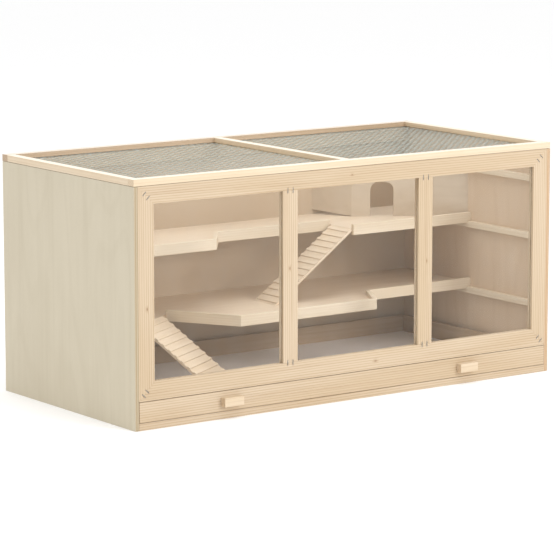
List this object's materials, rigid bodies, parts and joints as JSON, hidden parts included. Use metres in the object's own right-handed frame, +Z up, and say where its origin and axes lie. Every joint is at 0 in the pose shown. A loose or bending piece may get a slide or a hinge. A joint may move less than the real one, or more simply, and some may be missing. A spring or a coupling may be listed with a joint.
{
  "type": "hamster cage",
  "caption": "Wooden hamster cage with clear front windows, two shelves joined by ramps, a corner hut, a pull-out tray and a hinged wire mesh lid.",
  "frame": {"origin": "centre of the base's footprint on the floor, under the middle base runner", "axes": "+X to the right seen from the front, -Y towards the front windows, +Z up"},
  "size_m": [1.15, 0.5606, 0.5406],
  "materials": {
    "side_plywood": "matt plywood face",
    "brown_board": "smooth brown board, satin",
    "pine": "planed pine, matt",
    "acrylic": "clear, gloss",
    "zinc_steel": "zinc plated, satin",
    "shelf_board": "sanded plywood, matt",
    "pale_pine": "sanded pale pine, matt",
    "tray_floor": "greyish coated board, satin"
  },
  "bodies": {
    "carcass": {"left_side_panel": "side_plywood", "right_side_panel": "side_plywood", "back_panel": "brown_board", "base_panel": "brown_board", "back_top_rail": "pine", "base_front_rail": "pine", "base_rear_rail": "pine", "base_runners": "pine", "frame_top_rail": "pine", "frame_bottom_rail": "pine", "frame_left_stile": "pine", "frame_right_stile": "pine", "mullion_left": "pine", "mullion_right": "pine", "battens_lower": "pine", "battens_upper": "pine", "battens_top": "pine", "acrylic_left": "acrylic", "acrylic_middle": "acrylic", "acrylic_right": "acrylic", "corrugated_fasteners": "zinc_steel", "hinge_leaves_carcass": "zinc_steel", "hinge_pins": "zinc_steel", "hinge_screws_carcass": "zinc_steel", "mid_shelf": "shelf_board", "upper_shelf": "shelf_board", "ramp_upper": "shelf_board", "ramp_lower": "shelf_board", "hut_front_wall": "shelf_board", "hut_side_wall": "shelf_board", "mid_lip_left": "pale_pine", "mid_lip_ramp": "pale_pine", "mid_lip_front": "pale_pine", "mid_lip_return": "pale_pine", "mid_lip_right": "pale_pine", "upper_lip_left": "pale_pine", "upper_lip_return": "pale_pine", "upper_lip_middle": "pale_pine", "upper_lip_right": "pale_pine", "ramp_upper_rungs": "pale_pine", "ramp_lower_rungs": "pale_pine"},
    "lid": {"lid_front_rail": "pale_pine", "lid_back_rail": "pale_pine", "lid_left_stile": "pale_pine", "lid_right_stile": "pale_pine", "lid_centre_bar": "pale_pine", "mesh_left": "zinc_steel", "mesh_right": "zinc_steel", "mesh_staples": "zinc_steel", "hinge_leaves_lid": "zinc_steel", "hinge_screws_lid": "zinc_steel"},
    "tray": {"drawer_front": "pine", "tray_left_wall": "pine", "tray_right_wall": "pine", "tray_back_wall": "pine", "tray_floor": "tray_floor", "handle_left": "pale_pine", "handle_right": "pale_pine", "handle_screws": "zinc_steel"}
  },
  "joints": [
    {"name": "lid_hinge", "type": "hinge", "parent": "carcass", "child": "lid", "pos_m": [0, 0.273, 0.5253], "axis": [-1, 0, 0], "range_deg": [0, 105]},
    {"name": "tray_slide", "type": "slide", "parent": "carcass", "child": "tray", "axis": [0, -1, 0], "range_m": [0, 0.3]}
  ]
}
